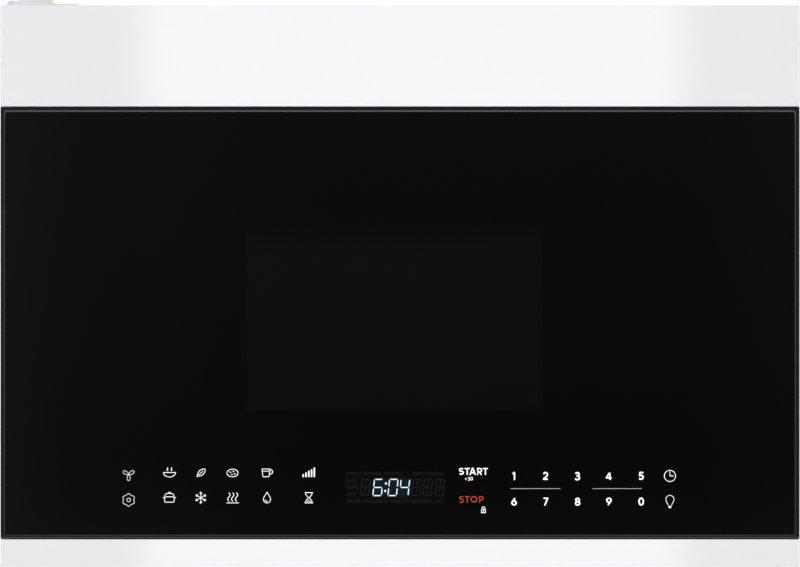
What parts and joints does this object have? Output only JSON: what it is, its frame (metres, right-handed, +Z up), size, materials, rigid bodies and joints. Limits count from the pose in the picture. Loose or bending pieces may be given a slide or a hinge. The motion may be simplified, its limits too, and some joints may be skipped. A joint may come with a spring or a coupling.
{
  "type": "over the range microwave oven",
  "caption": "Wall-hung microwave oven with a cooker hood: white case, full-width black glass door with touch controls behind the glass, glass turntable, filters and blower.",
  "frame": {"origin": "middle of the back face of the wall mounting plate", "axes": "+X to the right of a person facing the oven, +Y into the wall, +Z up"},
  "size_m": [0.606, 0.391, 0.441],
  "materials": {
    "white_paint": "satin white enamel paint",
    "white_moulding": "satin white moulding",
    "charcoal_plastic": "fine-grained charcoal moulding",
    "black_glass": "polished black-backed glass",
    "galvanised": "galvanised sheet",
    "grey_enamel": "speckled light grey enamel",
    "black_steel": "satin black",
    "clear_glass": "clear pressed glass",
    "window_film": "clear film",
    "mica": "pressed mica sheet",
    "steel": "plain steel",
    "aluminium": "expanded mesh and frame",
    "copper": "enamelled winding",
    "white_plastic": "natural nylon",
    "black_plastic": "satin moulding",
    "circuit_board": "solder-masked laminate",
    "charcoal": "activated charcoal behind mesh",
    "lamp_lens": "frosted"
  },
  "bodies": {
    "chassis": {"back_panel": "galvanised", "base_plate": "white_paint", "bottom_trim": "white_moulding", "cavity_box": "grey_enamel", "cavity_front_plate": "grey_enamel", "cavity_lamp": "lamp_lens", "charcoal_filter": "charcoal", "component_bay_floor": "galvanised", "cooktop_lamp_board": "circuit_board", "cooktop_lamp_lens": "lamp_lens", "cooling_fan_motor": "steel", "cooling_fan_shroud": "galvanised", "exhaust_adaptor": "galvanised", "hinge_bracket_lower": "galvanised", "hinge_bracket_upper": "galvanised", "humidity_sensor": "steel", "hv_capacitor": "aluminium", "hv_transformer": "copper", "latch_board": "white_plastic", "magnetron": "steel", "monitor_switch": "black_plastic", "noise_filter_board": "circuit_board", "outer_case": "white_paint", "power_board": "circuit_board", "power_cord_gland": "white_moulding", "primary_switch": "black_plastic", "secondary_switch": "black_plastic", "top_vent_panel": "white_moulding", "turntable_motor": "galvanised", "vent_blower_housing": "galvanised", "vent_blower_motor": "steel", "wall_mounting_plate": "galvanised", "waveguide": "galvanised", "waveguide_cover": "mica"},
    "door": {"door_frame": "charcoal_plastic", "door_glass": "black_glass", "door_inner_panel": "black_steel", "door_choke_cover": "black_plastic", "door_inner_window": "window_film", "door_rear_cover": "black_plastic", "control_board": "circuit_board", "display_module": "black_plastic", "latch_spring": "steel"},
    "latch": {"door_latch_hooks": "white_plastic"},
    "coupler": {"turntable_coupler": "white_plastic"},
    "tray": {"glass_turntable": "clear_glass"},
    "ring": {"roller_ring": "white_plastic"},
    "roller_a": {"roller_1": "white_plastic"},
    "roller_b": {"roller_2": "white_plastic"},
    "roller_c": {"roller_3": "white_plastic"},
    "fan": {"cooling_fan_blade": "black_plastic"},
    "blower": {"blower_shaft": "steel", "blower_wheel_left": "black_plastic", "blower_wheel_right": "black_plastic"},
    "damper": {"damper_flap": "galvanised"},
    "primary_button": {"primary_plunger": "white_plastic"},
    "secondary_button": {"secondary_plunger": "white_plastic"},
    "monitor_button": {"monitor_plunger": "white_plastic"},
    "left_filter": {"grease_filter_left": "aluminium"},
    "right_filter": {"grease_filter_right": "aluminium"}
  },
  "joints": [
    {"name": "door_swing", "type": "hinge", "parent": "chassis", "child": "door", "pos_m": [-0.293, -0.377, 0], "axis": [0, 0, -1], "range_deg": [0, 100]},
    {"name": "latch_lift", "type": "slide", "parent": "door", "child": "latch", "axis": [0, 0, 1], "range_m": [0, 0.005], "stiffness_N_per_m": 400, "springref_m": -0.005, "deforming": ["latch_spring"]},
    {"name": "turntable_spin", "type": "hinge", "parent": "chassis", "child": "coupler", "pos_m": [-0.061, -0.18, -0.118], "axis": [0, 0, 1], "continuous": true},
    {"name": "tray_lift_off", "type": "slide", "parent": "coupler", "child": "tray", "axis": [0, 0, 1], "range_m": [0, 0.04]},
    {"name": "roller_ring_spin", "type": "hinge", "parent": "chassis", "child": "ring", "pos_m": [-0.061, -0.18, -0.1167], "axis": [0, 0, 1], "continuous": true},
    {"name": "roller_a_spin", "type": "hinge", "parent": "ring", "child": "roller_a", "pos_m": [-0.061, -0.284, -0.1167], "axis": [0, -1, 0], "continuous": true},
    {"name": "roller_b_spin", "type": "hinge", "parent": "ring", "child": "roller_b", "pos_m": [0.02907, -0.128, -0.1167], "axis": [0.866, 0.5, 0], "continuous": true},
    {"name": "roller_c_spin", "type": "hinge", "parent": "ring", "child": "roller_c", "pos_m": [-0.15107, -0.128, -0.1167], "axis": [-0.866, 0.5, 0], "continuous": true},
    {"name": "cooling_fan_spin", "type": "hinge", "parent": "chassis", "child": "fan", "pos_m": [0.225, -0.103, 0.022], "axis": [0, -1, 0], "continuous": true},
    {"name": "blower_spin", "type": "hinge", "parent": "chassis", "child": "blower", "pos_m": [0, -0.1, 0.162], "axis": [1, 0, 0], "continuous": true},
    {"name": "damper_swing", "type": "hinge", "parent": "chassis", "child": "damper", "pos_m": [0, -0.062, 0.218], "axis": [-1, 0, 0], "range_deg": [0, 80]},
    {"name": "primary_press", "type": "slide", "parent": "chassis", "child": "primary_button", "axis": [0, 1, 0], "range_m": [0, 0.0015], "stiffness_N_per_m": 300, "springref_m": -0.001},
    {"name": "secondary_press", "type": "slide", "parent": "chassis", "child": "secondary_button", "axis": [0, 1, 0], "range_m": [0, 0.0015], "stiffness_N_per_m": 300, "springref_m": -0.001},
    {"name": "monitor_press", "type": "slide", "parent": "chassis", "child": "monitor_button", "axis": [0, 1, 0], "range_m": [0, 0.0015], "stiffness_N_per_m": 300, "springref_m": -0.001},
    {"name": "left_filter_drop", "type": "hinge", "parent": "chassis", "child": "left_filter", "pos_m": [-0.2, -0.056, -0.2118], "axis": [1, 0, 0], "range_deg": [0, 60]},
    {"name": "right_filter_drop", "type": "hinge", "parent": "chassis", "child": "right_filter", "pos_m": [0.2, -0.056, -0.2118], "axis": [1, 0, 0], "range_deg": [0, 60]}
  ],
  "couplings": [
    {"joint": "roller_ring_spin", "follows": "turntable_spin", "ratio": 0.5},
    {"joint": "roller_a_spin", "follows": "turntable_spin", "ratio": -6.2651},
    {"joint": "roller_b_spin", "follows": "turntable_spin", "ratio": -6.2651},
    {"joint": "roller_c_spin", "follows": "turntable_spin", "ratio": -6.2651}
  ]
}
